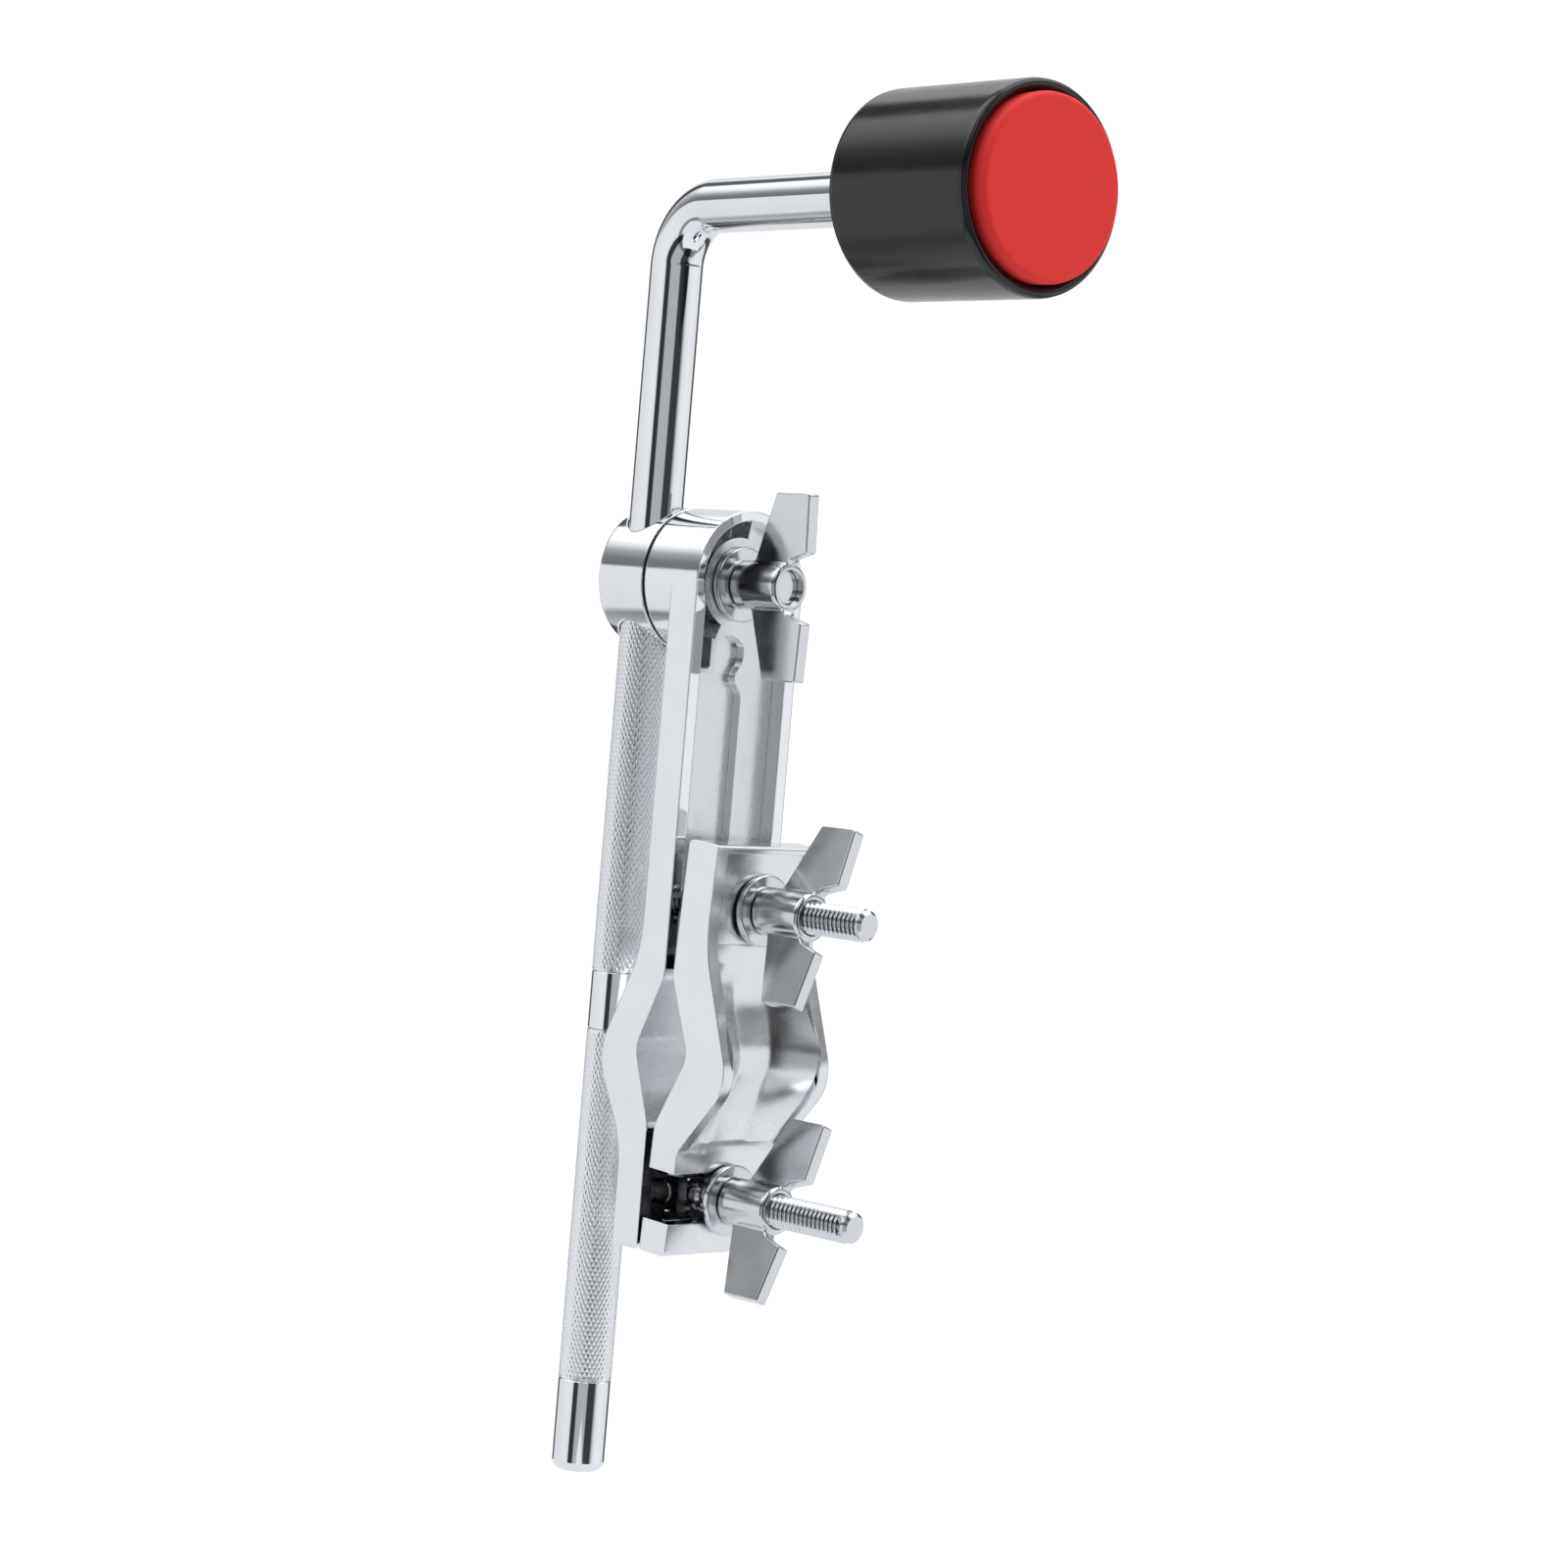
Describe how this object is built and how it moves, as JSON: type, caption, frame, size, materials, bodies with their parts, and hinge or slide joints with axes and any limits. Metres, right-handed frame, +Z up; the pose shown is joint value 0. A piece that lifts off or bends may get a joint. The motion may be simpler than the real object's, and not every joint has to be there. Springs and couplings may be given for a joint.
{
  "type": "cowbell mounting clamp",
  "caption": "Two-jaw tube clamp with wing nuts, carrying an adjustable bent rod that ends in a padded round head.",
  "frame": {"origin": "centre of the diamond opening between the two jaws, where the gripped tube's axis passes", "axes": "+X along the clamp bolts towards the wing nuts, +Y along the gripped tube, +Z up along the rod"},
  "size_m": [0.1007, 0.0433, 0.2434],
  "materials": {
    "chrome": "polished chrome plate",
    "zinc": "satin zinc plate",
    "steel": "plain steel",
    "black_paint": "satin black paint",
    "red_rubber": "matte red rubber",
    "black_rubber": "matte black rubber"
  },
  "bodies": {
    "clamp": {"rear_jaw": "chrome", "upper_bolt": "zinc", "swing_bolt_pin": "steel", "friction_ring": "black_rubber"},
    "rod_holder": {"rod_barrel": "chrome", "draw_bolt": "steel"},
    "rod": {"l_rod": "chrome", "head_shell": "black_paint", "head_pad": "red_rubber", "head_flat_washer": "steel", "head_lock_washer": "steel", "head_nut": "steel"},
    "top_washer_body": {"top_washer": "zinc"},
    "top_nut": {"top_wing_nut": "zinc"},
    "upper_washer_body": {"upper_washer": "zinc"},
    "upper_nut": {"upper_wing_nut": "zinc"},
    "moving_jaw": {"front_jaw": "chrome"},
    "swing": {"swing_bolt": "zinc"},
    "lower_washer_body": {"lower_washer": "zinc"},
    "lower_nut": {"lower_wing_nut": "zinc"}
  },
  "joints": [
    {"name": "rod_tilt", "type": "hinge", "parent": "clamp", "child": "rod_holder", "pos_m": [-0.0206, 0, 0.082], "axis": [1, 0, 0], "range_deg": [-120, 120]},
    {"name": "rod_slide", "type": "slide", "parent": "rod_holder", "child": "rod", "axis": [0, 0, 1], "range_m": [-0.035, 0.14]},
    {"name": "top_washer_slide", "type": "slide", "parent": "rod_holder", "child": "top_washer_body", "axis": [1, 0, 0], "range_m": [0, 0.003]},
    {"name": "top_nut_turn", "type": "hinge", "parent": "top_washer_body", "child": "top_nut", "pos_m": [0, 0, 0.082], "axis": [1, 0, 0], "range_deg": [0, 1081]},
    {"name": "upper_washer_slide", "type": "slide", "parent": "clamp", "child": "upper_washer_body", "axis": [1, 0, 0], "range_m": [0, 0.008]},
    {"name": "upper_nut_turn", "type": "hinge", "parent": "upper_washer_body", "child": "upper_nut", "pos_m": [0, 0, 0.0256], "axis": [1, 0, 0], "range_deg": [0, 2881]},
    {"name": "jaw_swing", "type": "hinge", "parent": "upper_washer_body", "child": "moving_jaw", "pos_m": [0, 0, 0.0256], "axis": [1, 0, 0], "range_deg": [0, 110]},
    {"name": "swing_bolt_turn", "type": "hinge", "parent": "clamp", "child": "swing", "pos_m": [-0.005, 0, -0.0256], "axis": [0, 1, 0], "range_deg": [-2, 2]},
    {"name": "lower_washer_slide", "type": "slide", "parent": "swing", "child": "lower_washer_body", "axis": [1, 0, 0], "range_m": [0, 0.0081]},
    {"name": "lower_nut_turn", "type": "hinge", "parent": "lower_washer_body", "child": "lower_nut", "pos_m": [0, 0, -0.0256], "axis": [1, 0, 0], "range_deg": [0, 2881]}
  ],
  "couplings": [
    {"joint": "top_nut_turn", "follows": "top_washer_slide", "rad_per_m": 6283.2},
    {"joint": "upper_nut_turn", "follows": "upper_washer_slide", "rad_per_m": 6283.2},
    {"joint": "lower_nut_turn", "follows": "upper_washer_slide", "rad_per_m": 6283.2},
    {"joint": "lower_washer_slide", "follows": "upper_washer_slide", "ratio": 1}
  ]
}
